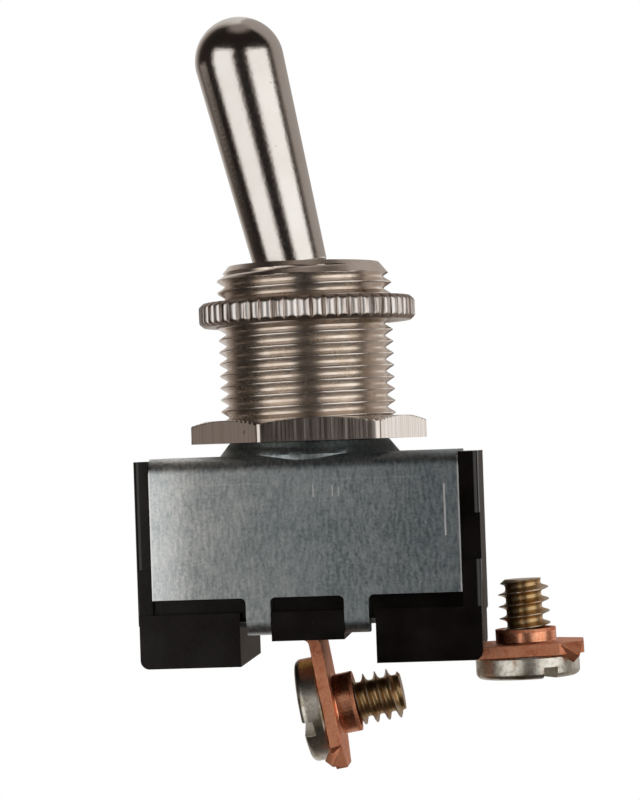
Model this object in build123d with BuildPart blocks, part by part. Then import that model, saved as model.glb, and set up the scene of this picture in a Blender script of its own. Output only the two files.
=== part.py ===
from build123d import *
from math import cos, radians, sin, sqrt, tan
import os

# Panel toggle switch, single pole, with a bat-handle lever and two screw terminals.
# Millimetres. The origin is on the bushing's axis, in the plane where the panel seats,
# which is the top of the hex nut. +Z runs up the bushing, +X points to the end terminal
# and -Y to the face that the switch shows. The lever rests leaning to -X, contacts closed.

# Threaded bushing: a 15/32 inch thread of 32 turns an inch, cut as separate rings
thread_radius = 5.84
thread_pitch = 0.79375
thread_depth = 0.45
thread_crest = 0.12  # blunt width of each crest
thread_root = 0.1
thread_clearance = 0.03
bushing_height = 11.83  # from the frame's raised boss to the rim
rim_chamfer_width = 0.78
rim_chamfer_height = 0.95
pivot_depth = 3.93  # lever's pivot below the rim
mouth_radius = 3.6
throat_height = 2.2  # narrowest place above the pivot
bore_taper_depth = 4.5  # below the pivot, where the bore starts to widen
lower_bore_radius = 4.0
spigot_radius = 4.75
swage_radius = 5.2
swage_height = 0.6

# Nuts
hex_wall = 1.075  # from the thread to the flats
hex_nut_height = 1.5
hex_turn = 10.0  # its flats from the switch's own sides
hex_chamfer_angle = 20.0
ring_wall = 1.416
ring_height = 1.6
ring_rest_height = 6.34  # its lower face above the panel seat
ring_chamfer = 0.3
ring_teeth = 52
tooth_depth = 0.3
tooth_width = 0.52
nut_lead_in = 0.3

# Lever, with its pivot ball and the tube that carries the plunger
lever_tilt = 12.2  # rest lean from the bushing's axis, to -X
ball_radius = 3.4
ball_clearance = 0.1
tip_radius = 3.0
tip_centre_height = 18.17  # from the pivot, along the lever
waist_radius = 2.45
waist_height = 4.1
neck_radius = 2.1
neck_height = 3.6
tail_radius = 1.75
tail_length = 12.5
plunger_radius = 1.05
plunger_guide = 2.2  # length of the plunger inside the tube
plunger_clearance = 0.05
spring_bore_top = 4.2  # below the pivot
pin_radius = 0.8
pin_length = 9.0
pin_clearance = 0.05
spring_wire_radius = 0.16
spring_turns = 9

# Frame: a channel of sheet steel with a raised boss and four tabs
sheet = 0.8
frame_length = 20.2
frame_depth = 12.8
frame_height = 9.23
bend_radius = 1.2
boss_radius = 6.05
boss_crown_radius = 5.35
boss_height = 0.87
boss_edge_radius = 0.2
boss_root = 0.5  # the boss's wall runs this far down into the bends
tab_width = 1.6
tab_spacing = 6.4
tab_root_radius = 0.35
tab_bend_radius = 1.0
tab_hook = 2.4  # reach of the bent end under the body, from the frame's face
fit_gap = 0.03

# Insulating liner under the frame's top
liner_thickness = 0.25
liner_slot_length = 8.6
liner_slot_width = 4.4

# Moulded housing
left_flange_reach = 1.0  # left end flange beyond the frame's end
right_flange_reach = 1.3
flange_drop = 0.15  # its top below the frame's top
body_drop = 10.88  # underside between the bosses, below the frame's top
floor_thickness = 1.25
cavity_clearance = 0.7  # beyond the rocker's ends
cavity_width = 8.8
well_length = 9.2
step_height = 0.9  # contact shelves above the well's floor
shoulder_height = 0.7  # top of the bosses above the underside
side_boss_drop = 2.8
side_boss_inner = 4.42
side_boss_setback = 0.1  # outer side of a side boss from the flange's end
middle_boss_drop = 1.2
middle_boss_width = 4.74
rib_setback = 0.4
left_rib_length = 7.05
right_rib_length = 4.0
right_window_length = 3.0
corner_radius = 0.4
core_edge_radius = 0.35
boss_corner_radius = 0.6
boss_edge = 0.3
rest_pad_size = 2.0

# Moving contact and its saddle
fulcrum_height = 2.8  # above the floor of the well
rocker_tilt = 8.0  # rest lean, its closed end down
rocker_sheet = 0.8
rocker_width = 4.4
rocker_crown = 0.45  # top of the middle above the fulcrum
rocker_flat = 1.8
dish_slope = 17.0
dish_reach = 3.9
wing_reach = 7.8
contact_inset = 1.2  # contact's middle from the rocker's end
trunnion_radius = 0.5
trunnion_span = 6.4
journal_clearance = 0.05
saddle_sheet = 0.6
saddle_length = 4.8
saddle_inside = 4.9
ear_length = 3.0
ear_rise = 0.55
nose_gap = 0.1  # plunger to rocker, with the lever upright

# Contacts and rivets
button_radius = 1.3
button_height = 0.75
dome_height = 0.25
fixed_button_radius = 1.5
button_shank_radius = 0.6
closed_gap = 0.05
rivet_radius = 1.0
rivet_flare = 1.6
centre_rivet_radius = 0.7
centre_rivet_head = 0.95
centre_rivet_x = -1.0

# Screw terminals
strip = 0.78
strip_width = 6.4
strip_bend = 0.4  # inner radius of its folds
foot_proud = 0.2  # the strips' feet stand this far out of the bosses
end_foot_inset = 0.65  # end terminal's foot from the boss's inner side
end_leg_angle = 1.6  # rise of the end terminal
end_leg_length = 6.42
centre_foot_x = -2.0
centre_root_x = 0.35
centre_lean = 9.7
centre_leg_length = 9.5
end_screw_inset = 3.8  # screw's axis from the strip's end
centre_screw_inset = 4.1
ear_size = 1.6  # corners folded towards the screw's head, to hold the wire
ear_fold = 53.0
collar_radius = 2.02
end_collar_height = 0.95
centre_collar_height = 1.35

# Terminal screws
screw_radius = 1.69
end_screw_length = 5.0
centre_screw_length = 5.25
screw_point = 0.35
screw_clearance = 0.03
head_radius = 3.45
head_height = 1.5
head_rim_height = 1.05
head_crown_radius = 3.05
head_gap = 0.03
slot_width = 1.0
slot_depth = 0.75
end_slot_turn = 27.0
centre_slot_turn = 18.0

# Levels, worked out from the sizes above
seat_z = 0.0
boss_top_z = seat_z - hex_nut_height
frame_top_z = boss_top_z - boss_height
rim_z = boss_top_z + bushing_height
pivot_z = rim_z - pivot_depth
frame_under_z = frame_top_z - sheet
liner_under_z = frame_under_z - liner_thickness
body_under_z = frame_top_z - body_drop
well_floor_z = body_under_z + floor_thickness
shelf_z = well_floor_z + step_height
side_boss_z = body_under_z - side_boss_drop
middle_boss_z = body_under_z - middle_boss_drop
fulcrum_z = well_floor_z + fulcrum_height
fulcrum_drop = pivot_z - fulcrum_z
seat_radius = ball_radius + ball_clearance
core_depth = frame_depth - 2 * sheet - 2 * fit_gap
bore_radius = thread_radius + thread_clearance
hex_across_flats = 2 * (thread_radius + hex_wall)
ring_radius = thread_radius + ring_wall
left_end_x = -frame_length / 2 - left_flange_reach
right_end_x = frame_length / 2 + right_flange_reach
left_boss_x = left_end_x + side_boss_setback
right_boss_x = right_end_x - side_boss_setback
cavity_length = 2 * (wing_reach + cavity_clearance)
contact_reach = wing_reach - contact_inset

pivot = Vector(0, 0, pivot_z)
lever_plane = Plane(
    origin=pivot,
    x_dir=(cos(radians(lever_tilt)), 0, sin(radians(lever_tilt))),
    z_dir=(0, -1, 0),
)
lever_axis = Axis(pivot, lever_plane.y_dir)
rocker_plane = Plane(
    origin=(0, 0, fulcrum_z),
    x_dir=(cos(radians(rocker_tilt)), 0, -sin(radians(rocker_tilt))),
    z_dir=(0, -1, 0),
)


os.makedirs("parts", exist_ok=True)


def finish(builder, name):
    """Label the piece and write it under its own name."""
    builder.part.label = name
    export_step(builder.part, f"parts/{name}.step")


# Bushing: turned, with a ball seat for the lever and a spigot swaged into the frame
throat_radius = sqrt(seat_radius**2 - throat_height**2)
swage_top_z = boss_top_z - sheet
bushing_foot_z = swage_top_z - swage_height
groove_depth = pin_length / 2 + pin_clearance
thread_top_z = rim_z - rim_chamfer_height
thread_opening = (thread_pitch - thread_crest) / 2
thread_outline = []
for turn in range(int((thread_top_z - boss_top_z) / thread_pitch)):
    middle_z = thread_top_z - (turn + 0.5) * thread_pitch
    thread_outline += [
        (thread_radius, middle_z + thread_opening),
        (thread_radius - thread_depth, middle_z + thread_root / 2),
        (thread_radius - thread_depth, middle_z - thread_root / 2),
        (thread_radius, middle_z - thread_opening),
    ]
with BuildPart() as bushing:
    with BuildSketch(Plane.XZ):
        with BuildLine():
            Polyline(
                (throat_radius, pivot_z + throat_height),
                (mouth_radius, rim_z),
                (thread_radius - rim_chamfer_width, rim_z),
                (thread_radius, thread_top_z),
                *thread_outline,
                (thread_radius, boss_top_z),
                (spigot_radius, boss_top_z),
                (spigot_radius, swage_top_z),
                (swage_radius, swage_top_z),
                (swage_radius, bushing_foot_z),
                (lower_bore_radius, bushing_foot_z),
                (seat_radius, pivot_z - bore_taper_depth),
                (seat_radius, pivot_z),
            )
            ThreePointArc(
                (seat_radius, pivot_z),
                (
                    sqrt(seat_radius**2 - (throat_height / 2) ** 2),
                    pivot_z + throat_height / 2,
                ),
                (throat_radius, pivot_z + throat_height),
            )
        make_face()
    revolve(axis=Axis.Z)
    # Two slots inside the bore, open below, take the ends of the pivot pin
    with BuildSketch(Plane.YZ):
        with Locations((0, pivot_z)):
            Rectangle(
                2 * groove_depth,
                pivot_z - bushing_foot_z,
                align=(Align.CENTER, Align.MAX),
            )
    extrude(amount=pin_radius + pin_clearance, both=True, mode=Mode.SUBTRACT)
    with BuildSketch(Plane.XZ):
        with Locations((0, pivot_z)):
            Circle(pin_radius + pin_clearance)
    extrude(amount=groove_depth, both=True, mode=Mode.SUBTRACT)
finish(bushing, "bushing")


# Hex nut under the panel, its upper face chamfered at the corners
hex_corner = hex_across_flats / 2 / cos(radians(30))
hex_land = hex_across_flats / 2
hex_chamfer_height = (hex_corner - hex_land) * tan(radians(hex_chamfer_angle))
with BuildPart() as hex_nut:
    with BuildSketch(Plane.XY.offset(boss_top_z)):
        RegularPolygon(hex_corner, 6, rotation=hex_turn)
    extrude(amount=hex_nut_height)
    with BuildSketch(Plane.XZ):
        Polygon(
            (bore_radius, boss_top_z + nut_lead_in),
            (bore_radius + nut_lead_in, boss_top_z),
            (hex_corner, boss_top_z),
            (hex_corner, seat_z - hex_chamfer_height),
            (hex_land, seat_z),
            (bore_radius + nut_lead_in, seat_z),
            (bore_radius, seat_z - nut_lead_in),
            align=None,
        )
    revolve(axis=Axis.Z, mode=Mode.INTERSECT)
finish(hex_nut, "hex_nut")


# Knurled ring nut over the panel
ring_z = seat_z + ring_rest_height
with BuildPart() as ring_nut:
    with BuildSketch(Plane.XY.offset(ring_z)):
        Circle(ring_radius)
        Circle(bore_radius, mode=Mode.SUBTRACT)
    extrude(amount=ring_height)
    circles = ring_nut.edges().filter_by(GeomType.CIRCLE).group_by(SortBy.RADIUS)
    chamfer(circles[-1], ring_chamfer)
    chamfer(circles[0], nut_lead_in)
    with BuildSketch(Plane.XY.offset(ring_z)):
        with PolarLocations(ring_radius, ring_teeth):
            Polygon(
                (tooth_depth, 0.0),
                (-tooth_depth, -tooth_width),
                (-tooth_depth, tooth_width),
                align=None,
                rotation=180,
            )
    extrude(amount=ring_height, mode=Mode.SUBTRACT)
finish(ring_nut, "ring_nut")


# Lever: a bat handle, a pivot ball and a tube below it, turned in one piece
ball_neck = sqrt(ball_radius**2 - neck_radius**2)
ball_tail = sqrt(ball_radius**2 - tail_radius**2)
plunger_bore = plunger_radius + plunger_clearance
with BuildPart() as lever:
    with BuildSketch(lever_plane):
        with BuildLine():
            Line((0, -ball_radius), (0, tip_centre_height + tip_radius))
            RadiusArc(
                (0, tip_centre_height + tip_radius),
                (tip_radius, tip_centre_height),
                tip_radius,
            )
            Polyline(
                (tip_radius, tip_centre_height),
                (waist_radius, waist_height),
                (neck_radius, neck_height),
                (neck_radius, ball_neck),
            )
            ThreePointArc(
                (neck_radius, ball_neck), (ball_radius, 0), (tail_radius, -ball_tail)
            )
            Polyline(
                (tail_radius, -ball_tail),
                (tail_radius, -tail_length),
                (0, -tail_length),
                (0, -ball_radius),
            )
        make_face()
    revolve(axis=lever_axis)
    with BuildSketch(lever_plane):
        with Locations((0, -spring_bore_top)):
            Rectangle(
                plunger_bore,
                tail_length - spring_bore_top,
                align=(Align.MIN, Align.MAX),
            )
    revolve(axis=lever_axis, mode=Mode.SUBTRACT)
    with BuildSketch(Plane.XZ):
        with Locations((0, pivot_z)):
            Circle(pin_radius)
    extrude(amount=ball_radius, both=True, mode=Mode.SUBTRACT)
finish(lever, "lever")


# Pivot pin, driven through the lever's ball
with BuildPart() as pivot_pin:
    with BuildSketch(Plane.XZ):
        with Locations((0, pivot_z)):
            Circle(pin_radius)
    extrude(amount=pin_length / 2, both=True)
finish(pivot_pin, "pivot_pin")


# Plunger: it slides in the lever's tube and its round nose rides on the rocker
nose_reach = fulcrum_drop - rocker_crown - nose_gap
plunger_top = tail_length - plunger_guide
with BuildPart() as plunger:
    with BuildSketch(lever_plane):
        with BuildLine():
            Polyline(
                (0, -nose_reach),
                (0, -plunger_top),
                (plunger_radius, -plunger_top),
                (plunger_radius, -nose_reach + plunger_radius),
            )
            RadiusArc(
                (plunger_radius, -nose_reach + plunger_radius),
                (0, -nose_reach),
                plunger_radius,
            )
        make_face()
    revolve(axis=lever_axis)
finish(plunger, "plunger")


# Plunger spring, wound of round wire
spring_length = plunger_top - spring_bore_top - 2 * spring_wire_radius
spring_radius = plunger_bore - spring_wire_radius - plunger_clearance
spring_foot = lever_plane.from_local_coords((0, -plunger_top + spring_wire_radius, 0))
with BuildPart() as plunger_spring:
    with BuildLine():
        coil = Helix(
            spring_length / spring_turns,
            spring_length,
            spring_radius,
            center=spring_foot,
            direction=lever_plane.y_dir,
        )
    with BuildSketch(Plane(origin=coil @ 0, z_dir=coil % 0)):
        RegularPolygon(spring_wire_radius, 6)
    sweep(is_frenet=True)
finish(plunger_spring, "plunger_spring")


# Frame: folded from sheet, with the boss drawn up round the bushing's spigot
tab_inside_z = body_under_z - fit_gap
tab_under_z = tab_inside_z - sheet
with BuildPart() as frame:
    with BuildSketch(Plane.YZ):
        with BuildLine():
            half = frame_depth / 2
            FilletPolyline(
                (-half, frame_top_z - frame_height),
                (-half, frame_top_z),
                (half, frame_top_z),
                (half, frame_top_z - frame_height),
                radius=bend_radius,
            )
            offset(amount=sheet, side=Side.RIGHT)
        make_face()
    extrude(amount=frame_length / 2, both=True)
    # Tabs, each hooked under the body
    for side in (-1, 1):
        with BuildSketch(Plane.YZ):
            with BuildLine():
                FilletPolyline(
                    (side * half, frame_top_z - frame_height),
                    (side * half, tab_under_z),
                    (side * (half - tab_hook), tab_under_z),
                    radius=tab_bend_radius,
                )
                offset(amount=sheet, side=Side.LEFT if side < 0 else Side.RIGHT)
            make_face()
        extrude(amount=frame_length / 2, both=True)
    with BuildSketch(Plane.XZ.offset(-frame_depth)):
        notch_z = frame_top_z - frame_height
        with Locations((0, notch_z)):
            Rectangle(
                2 * frame_length, notch_z - tab_under_z, align=(Align.CENTER, Align.MAX)
            )
        with Locations((-tab_spacing / 2, notch_z), (tab_spacing / 2, notch_z)):
            Rectangle(
                tab_width,
                notch_z - tab_under_z,
                align=(Align.CENTER, Align.MAX),
                mode=Mode.SUBTRACT,
            )
        roots = vertices().group_by(Axis.Y)[-1].sort_by(Axis.X)[1:-1]
        fillet(roots, tab_root_radius)
    extrude(amount=2 * frame_depth, mode=Mode.SUBTRACT)
    # Raised boss, hollow below. Its foot runs down into the bends.
    with BuildSketch(Plane.XY.offset(frame_top_z - boss_root)):
        Circle(boss_radius)
        Circle(boss_radius - sheet, mode=Mode.SUBTRACT)
    extrude(amount=boss_root)
    with Locations((0, 0, frame_top_z)):
        Cone(
            boss_radius,
            boss_crown_radius,
            boss_height,
            align=(Align.CENTER, Align.CENTER, Align.MIN),
        )
    crest = frame.faces().filter_by(Plane.XY).sort_by(Axis.Z)[-1]
    fillet(crest.edges(), boss_edge_radius)
    with BuildSketch(Plane.XY.offset(frame_under_z)):
        Circle(boss_radius - sheet)
    extrude(amount=boss_height, mode=Mode.SUBTRACT)
    with BuildSketch(Plane.XY.offset(frame_under_z)):
        Circle(spigot_radius)
    extrude(amount=boss_height + sheet, mode=Mode.SUBTRACT)
finish(frame, "frame")


# Insulating liner between the frame and the body, slotted for the lever's tube
with BuildPart() as insulator:
    with BuildSketch(Plane.XY.offset(liner_under_z)):
        Rectangle(frame_length, frame_depth - 2 * bend_radius)
        SlotOverall(liner_slot_length, liner_slot_width, mode=Mode.SUBTRACT)
    extrude(amount=liner_thickness)
finish(insulator, "insulator")


# Moving contact: a dished strip on a round journal. Its profile is worked in its own frame.
dish_rise = (dish_reach - rocker_flat / 2) * tan(radians(dish_slope))
wing_rise = (wing_reach - dish_reach) * tan(radians(rocker_tilt))
wing_level = rocker_crown + dish_rise
strip_top = [
    (-wing_reach, wing_level + wing_rise),
    (-dish_reach, wing_level),
    (-rocker_flat / 2, rocker_crown),
    (rocker_flat / 2, rocker_crown),
    (dish_reach, wing_level),
    (wing_reach, wing_level + wing_rise),
]
button_level = (
    wing_level
    + (contact_reach - dish_reach) * tan(radians(rocker_tilt))
    - rocker_sheet / cos(radians(rocker_tilt))
)
button_point = rocker_plane.from_local_coords((contact_reach, button_level, 0))
with BuildPart() as rocker:
    with BuildSketch(rocker_plane):
        with BuildLine():
            Polyline(*strip_top)
            offset(amount=rocker_sheet, side=Side.RIGHT)
        make_face()
    extrude(amount=rocker_width / 2, both=True)
    with BuildSketch(rocker_plane):
        Circle(trunnion_radius)
    extrude(amount=trunnion_span / 2, both=True)
    with BuildSketch(Plane.XY.offset(button_point.Z)):
        with Locations((button_point.X, 0)):
            Circle(button_shank_radius)
    extrude(amount=2 * rocker_sheet, both=True, mode=Mode.SUBTRACT)
finish(rocker, "rocker")


def button_profile(radius, face_z, edge_z, dome_z):
    """Half outline of a contact button, domed from edge_z to dome_z."""
    Polyline((0, dome_z), (0, face_z), (radius, face_z), (radius, edge_z))
    bulge = abs(dome_z - edge_z)
    ball = (radius**2 + bulge**2) / (2 * bulge)
    middle = (
        radius / 2,
        dome_z + (1 if edge_z > dome_z else -1) * (ball - sqrt(ball**2 - radius**2 / 4)),
    )
    ThreePointArc((radius, edge_z), middle, (0, dome_z))


# Contact button riveted through the moving contact
button_tip_z = button_point.Z - button_height
contact_x = button_point.X
contact_view = Plane(origin=(contact_x, 0, 0), x_dir=(1, 0, 0), z_dir=(0, -1, 0))
contact_axis = Axis((contact_x, 0, 0), (0, 0, 1))
with BuildPart() as rocker_contact:
    with BuildSketch(contact_view):
        with BuildLine():
            button_profile(
                button_radius, button_point.Z, button_tip_z + dome_height, button_tip_z
            )
        make_face()
    revolve(axis=contact_axis)
    with BuildSketch(Plane.XY.offset(button_point.Z)):
        with Locations((contact_x, 0)):
            Circle(button_shank_radius)
    extrude(amount=rocker_sheet)
finish(rocker_contact, "rocker_contact")


# Saddle: a folded strip on the floor of the well, its two ears cradling the journal
ear_top_z = fulcrum_z + ear_rise
saddle_outside = saddle_inside + 2 * saddle_sheet
with BuildPart() as fulcrum_saddle:
    with BuildSketch(Plane.YZ):
        with BuildLine():
            half = saddle_outside / 2
            FilletPolyline(
                (-half, ear_top_z),
                (-half, well_floor_z),
                (half, well_floor_z),
                (half, ear_top_z),
                radius=saddle_sheet + strip_bend / 2,
            )
            offset(amount=saddle_sheet, side=Side.LEFT)
        make_face()
    extrude(amount=saddle_length / 2, both=True)
    with BuildSketch(Plane.XZ):
        for side in (-1, 1):
            with Locations((side * (saddle_length + ear_length) / 4, ear_top_z)):
                Rectangle(
                    (saddle_length - ear_length) / 2,
                    ear_top_z - well_floor_z - saddle_sheet - strip_bend,
                    align=(Align.CENTER, Align.MAX),
                )
        with Locations((0, fulcrum_z)):
            Circle(trunnion_radius + journal_clearance)
            Rectangle(
                2 * (trunnion_radius + journal_clearance),
                ear_rise + fit_gap,
                align=(Align.CENTER, Align.MIN),
            )
    extrude(amount=saddle_outside, both=True, mode=Mode.SUBTRACT)
    with BuildSketch(Plane.XY.offset(well_floor_z)):
        with Locations((centre_rivet_x, 0)):
            Circle(centre_rivet_radius)
    extrude(amount=saddle_sheet, mode=Mode.SUBTRACT)
finish(fulcrum_saddle, "fulcrum_saddle")


# Screw terminals: stamped strips with a drawn, tapped collar and two folded corners
def terminal(name, foot, root, leg_angle, leg_length, inset, collar, rivet_x, rivet, flare):
    """One terminal. Its foot lies in the body from foot to root, and its leg leaves from root."""
    angle = radians(leg_angle)
    along = Vector(cos(angle), 0, sin(angle))
    tip = Vector(root[0], 0, root[1]) + along * leg_length
    seat = Plane(
        origin=tip - along * inset, x_dir=along, z_dir=(-sin(angle), 0, cos(angle))
    )
    with BuildPart() as built:
        with BuildSketch(Plane.XZ):
            with BuildLine():
                FilletPolyline(foot, root, (tip.X, tip.Z), radius=strip + strip_bend)
                offset(amount=strip, side=Side.RIGHT)
            make_face()
        extrude(amount=strip_width / 2, both=True)
        for side in (-1, 1):
            corner = (inset, side * strip_width / 2)
            with BuildSketch(seat):
                Polygon(
                    corner,
                    (corner[0] - ear_size, corner[1]),
                    (corner[0], corner[1] - side * ear_size),
                    align=None,
                )
            extrude(amount=strip, both=True, mode=Mode.SUBTRACT)
            # The corner turns about its diagonal, away from the collar
            crease = seat.from_local_coords(
                (corner[0] - ear_size / 2, corner[1] - side * ear_size / 2, 0)
            )
            outwards = (seat.x_dir + side * seat.y_dir).normalized()
            fold = radians(ear_fold)
            ear = Plane(
                origin=crease,
                x_dir=outwards * cos(fold) - seat.z_dir * sin(fold),
                z_dir=outwards * sin(fold) + seat.z_dir * cos(fold),
            )
            half_crease = sqrt(ear_size**2 + ear_size**2) / 2
            with BuildSketch(ear):
                Polygon((0, -half_crease), (half_crease, 0), (0, half_crease), align=None)
            extrude(amount=-strip)
        with BuildSketch(seat):
            Circle(collar_radius)
        extrude(amount=collar)
        with BuildSketch(seat):
            Circle(screw_radius + screw_clearance)
        extrude(amount=2 * collar, both=True, mode=Mode.SUBTRACT)
        with BuildSketch(Plane.XZ):
            with Locations((rivet_x, foot[1])):
                Polygon(
                    (0, 0),
                    (rivet, 0),
                    (flare, -strip),
                    (0, -strip),
                    align=None,
                )
        revolve(axis=Axis((rivet_x, 0, 0), (0, 0, 1)), mode=Mode.SUBTRACT)
    finish(built, name)
    return built, seat


side_foot_z = side_boss_z - foot_proud
middle_foot_z = middle_boss_z - foot_proud
side_plate_z = side_foot_z + strip
middle_plate_z = middle_foot_z + strip
end_foot_x = side_boss_inner + end_foot_inset
end_terminal, end_seat = terminal(
    "end_terminal",
    (end_foot_x, side_plate_z),
    (right_end_x, side_plate_z),
    end_leg_angle,
    end_leg_length,
    end_screw_inset,
    end_collar_height,
    contact_x,
    rivet_radius,
    rivet_flare,
)
centre_terminal, centre_seat = terminal(
    "centre_terminal",
    (centre_foot_x, middle_plate_z),
    (centre_root_x, middle_plate_z),
    centre_lean - 90,
    centre_leg_length,
    centre_screw_inset,
    centre_collar_height,
    centre_rivet_x,
    centre_rivet_radius,
    centre_rivet_head,
)


# Fixed contact: a domed rivet through the shelf, its tail spread flush in the end terminal
fixed_tip_z = button_tip_z - closed_gap
with BuildPart() as end_contact:
    with BuildSketch(contact_view):
        with BuildLine():
            button_profile(
                fixed_button_radius, shelf_z, fixed_tip_z - dome_height, fixed_tip_z
            )
        make_face()
    revolve(axis=contact_axis)
    with BuildSketch(contact_view):
        Polygon(
            (0, shelf_z),
            (rivet_radius, shelf_z),
            (rivet_radius, side_plate_z),
            (rivet_flare, side_foot_z),
            (0, side_foot_z),
            align=None,
        )
    revolve(axis=contact_axis)
finish(end_contact, "end_contact")


# Rivet that holds the saddle and the centre terminal to the floor
saddle_top_z = well_floor_z + saddle_sheet
rivet_view = Plane(origin=(centre_rivet_x, 0, 0), x_dir=(1, 0, 0), z_dir=(0, -1, 0))
with BuildPart() as centre_rivet:
    with BuildSketch(rivet_view):
        Polygon(
            (0, saddle_top_z + centre_rivet_radius),
            (centre_rivet_radius, saddle_top_z + centre_rivet_radius),
            (centre_rivet_head, saddle_top_z),
            (centre_rivet_radius, saddle_top_z),
            (centre_rivet_radius, middle_plate_z),
            (centre_rivet_head, middle_foot_z),
            (0, middle_foot_z),
            align=None,
        )
    revolve(axis=Axis((centre_rivet_x, 0, 0), (0, 0, 1)))
finish(centre_rivet, "centre_rivet")


# Terminal screws: slotted binding heads
def terminal_screw(name, seat, length, slot_turn):
    """A screw through a terminal's collar, its head against the strip's other side."""
    bearing = Plane(seat.origin - seat.z_dir * strip, x_dir=seat.x_dir, z_dir=seat.z_dir)
    side_view = Plane(bearing.origin, x_dir=bearing.x_dir, z_dir=-bearing.y_dir)
    with BuildPart() as built:
        with BuildSketch(side_view):
            with BuildLine():
                Polyline(
                    (0, -head_height),
                    (0, length),
                    (screw_radius - screw_point, length),
                    (screw_radius, length - screw_point),
                    (screw_radius, -head_gap),
                    (head_radius, -head_gap),
                    (head_radius, -head_rim_height),
                )
                ThreePointArc(
                    (head_radius, -head_rim_height),
                    (
                        head_crown_radius + (head_radius - head_crown_radius) * sin(radians(45)),
                        -head_rim_height
                        - (head_height - head_rim_height) * sin(radians(45)),
                    ),
                    (head_crown_radius, -head_height),
                )
                Line((head_crown_radius, -head_height), (0, -head_height))
            make_face()
        revolve(axis=Axis(bearing.origin, bearing.z_dir))
        with BuildSketch(bearing.offset(-head_height)):
            Rectangle(slot_width, 3 * head_radius, rotation=slot_turn)
        extrude(amount=slot_depth, mode=Mode.SUBTRACT)
    finish(built, name)
    return built


end_screw = terminal_screw("end_screw", end_seat, end_screw_length, end_slot_turn)
centre_screw = terminal_screw("centre_screw", centre_seat, centre_screw_length, centre_slot_turn)


# Housing: moulded in one piece, with end flanges, bosses, terminal pockets and the cavity
flange_top_z = frame_top_z - flange_drop
end_wall = frame_length / 2 + fit_gap
shoulder_z = body_under_z + shoulder_height
pocket_width = strip_width + 2 * fit_gap
pad_top_z = button_point.Z - closed_gap
with BuildPart() as housing:
    with BuildSketch(Plane.XY.offset(body_under_z)):
        Rectangle(2 * end_wall, core_depth)
    extrude(amount=liner_under_z - body_under_z)
    fillet(housing.edges().filter_by(Axis.X), core_edge_radius)
    # End flanges, with their shallow set-back windows
    with BuildSketch(Plane.XZ):
        for inner, outer in ((-end_wall, left_end_x), (end_wall, right_end_x)):
            with Locations(((inner + outer) / 2, flange_top_z)):
                Rectangle(
                    abs(outer - inner),
                    flange_top_z - body_under_z,
                    align=(Align.CENTER, Align.MAX),
                )
    extrude(amount=frame_depth / 2, both=True)
    uprights = housing.edges().filter_by(Axis.Z).group_by(Axis.X)
    fillet(uprights[0] + uprights[-1], corner_radius)
    for face_y in (-1, 1):
        with BuildSketch(Plane.XZ.offset(-face_y * frame_depth / 2)):
            with Locations((left_end_x, flange_top_z - left_rib_length)):
                Rectangle(
                    -end_wall - left_end_x,
                    flange_top_z - left_rib_length - body_under_z,
                    align=(Align.MIN, Align.MAX),
                )
            with Locations((right_end_x, flange_top_z - right_rib_length)):
                Rectangle(
                    right_end_x - end_wall,
                    right_window_length,
                    align=(Align.MAX, Align.MAX),
                )
        extrude(amount=face_y * rib_setback, mode=Mode.SUBTRACT)
    # Bosses that carry the terminals
    with BuildSketch(Plane.XY.offset(side_boss_z)):
        for inner, outer in ((-side_boss_inner, left_boss_x), (side_boss_inner, right_boss_x)):
            with Locations(((inner + outer) / 2, 0)):
                Rectangle(abs(outer - inner), frame_depth)
    extrude(amount=shoulder_z - side_boss_z)
    with BuildSketch(Plane.XY.offset(middle_boss_z)):
        Rectangle(middle_boss_width, frame_depth)
    extrude(amount=shoulder_z - middle_boss_z)
    outer_foot = housing.edges().filter_by(Axis.Y).group_by(Axis.Z)[0].group_by(Axis.X)
    fillet(outer_foot[0] + outer_foot[-1], boss_corner_radius)
    # Cavity: two contact shelves and a deeper well between them
    with BuildSketch(Plane.XY.offset(shelf_z)):
        Rectangle(cavity_length, cavity_width)
    extrude(amount=liner_under_z - shelf_z, mode=Mode.SUBTRACT)
    with BuildSketch(Plane.XY.offset(well_floor_z)):
        Rectangle(well_length, cavity_width)
    extrude(amount=shelf_z - well_floor_z, mode=Mode.SUBTRACT)
    # Pad where the moving contact rests while the switch is off
    with BuildSketch(Plane.XY.offset(shelf_z)):
        with Locations((-contact_x, 0)):
            Rectangle(rest_pad_size, rocker_width)
    extrude(amount=pad_top_z - shelf_z)
    # Pockets under the bosses for the terminals' feet, and the rivets' holes
    with BuildSketch(Plane.XY.offset(side_boss_z)):
        with Locations((end_foot_x - fit_gap, 0)):
            Rectangle(right_end_x, pocket_width, align=(Align.MIN, Align.CENTER))
        with Locations((-end_foot_x + fit_gap, 0)):
            Rectangle(-left_end_x, pocket_width, align=(Align.MAX, Align.CENTER))
    extrude(amount=side_plate_z - side_boss_z, mode=Mode.SUBTRACT)
    with BuildSketch(Plane.XY.offset(middle_boss_z)):
        with Locations((centre_foot_x - fit_gap, 0)):
            Rectangle(
                middle_boss_width / 2 - centre_foot_x,
                pocket_width,
                align=(Align.MIN, Align.CENTER),
            )
    extrude(amount=middle_plate_z - middle_boss_z, mode=Mode.SUBTRACT)
    with BuildSketch(Plane.XY.offset(side_plate_z)):
        with Locations((contact_x, 0), (-contact_x, 0)):
            Circle(rivet_radius)
    extrude(amount=shelf_z - side_plate_z, mode=Mode.SUBTRACT)
    with BuildSketch(Plane.XY.offset(middle_plate_z)):
        with Locations((centre_rivet_x, 0)):
            Circle(centre_rivet_radius)
    extrude(amount=well_floor_z - middle_plate_z, mode=Mode.SUBTRACT)
finish(housing, "housing")
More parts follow.
